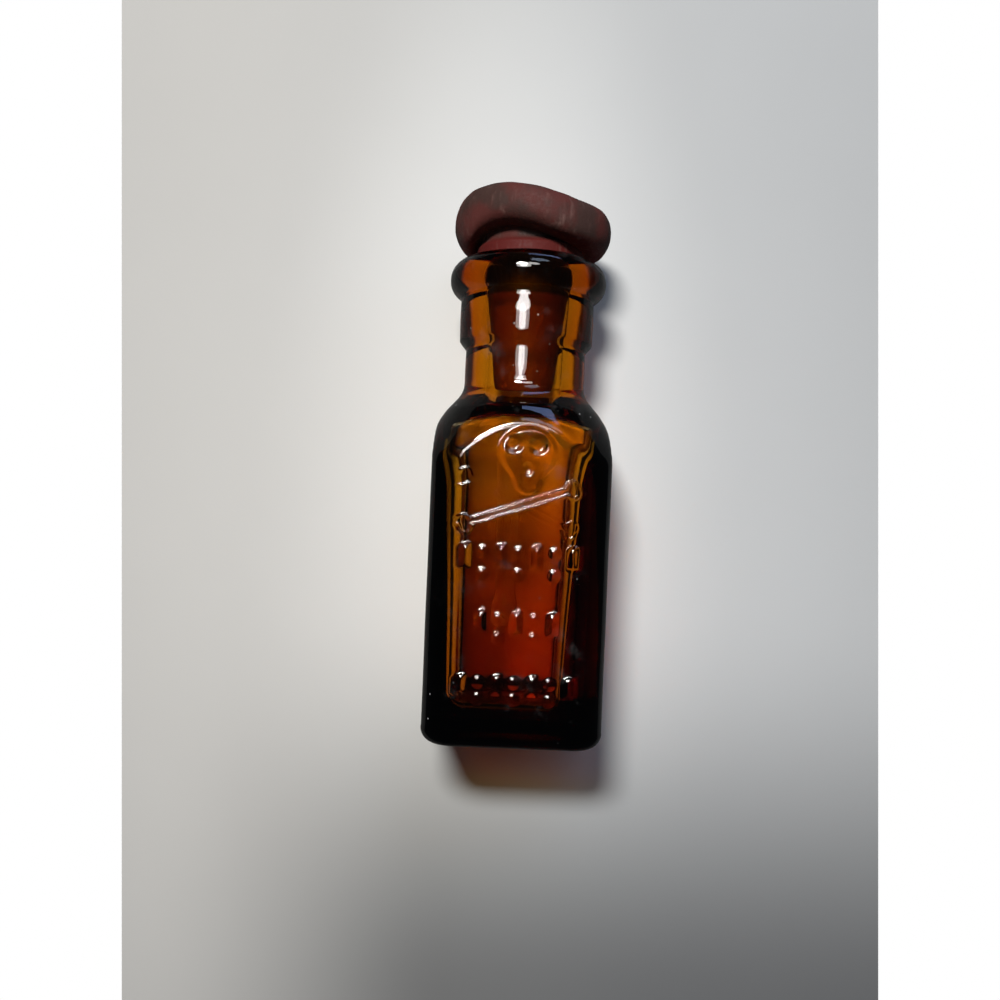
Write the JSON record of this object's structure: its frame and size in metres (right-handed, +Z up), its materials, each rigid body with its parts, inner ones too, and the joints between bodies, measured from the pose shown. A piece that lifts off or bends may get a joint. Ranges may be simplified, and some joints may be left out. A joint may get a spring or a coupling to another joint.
{
  "type": "poison bottle",
  "caption": "Small square amber glass poison bottle with arched shoulders, collared round neck, raised touch marks and a warped rubber stopper holding a glass applicator rod.",
  "frame": {"origin": "centre of the base, on the surface that the bottle stands on", "axes": "+Z up along the bottle's axis towards the stopper, -Y out of the marked front face, +X to the right seen from the front"},
  "size_m": [0.0254, 0.0259, 0.079],
  "materials": {
    "amber_glass": "moulded glass, smooth with slight ripples",
    "aged_rubber": "perished, dusty and finely cracked",
    "rod_glass": "drawn glass, smooth"
  },
  "bodies": {
    "bottle": {"glass_bottle": "amber_glass"},
    "stopper": {"rubber_stopper": "aged_rubber", "applicator_rod": "rod_glass"}
  },
  "joints": [
    {"name": "stopper_pull", "type": "slide", "parent": "bottle", "child": "stopper", "axis": [0, 0, 1], "range_m": [0, 0.058]}
  ]
}
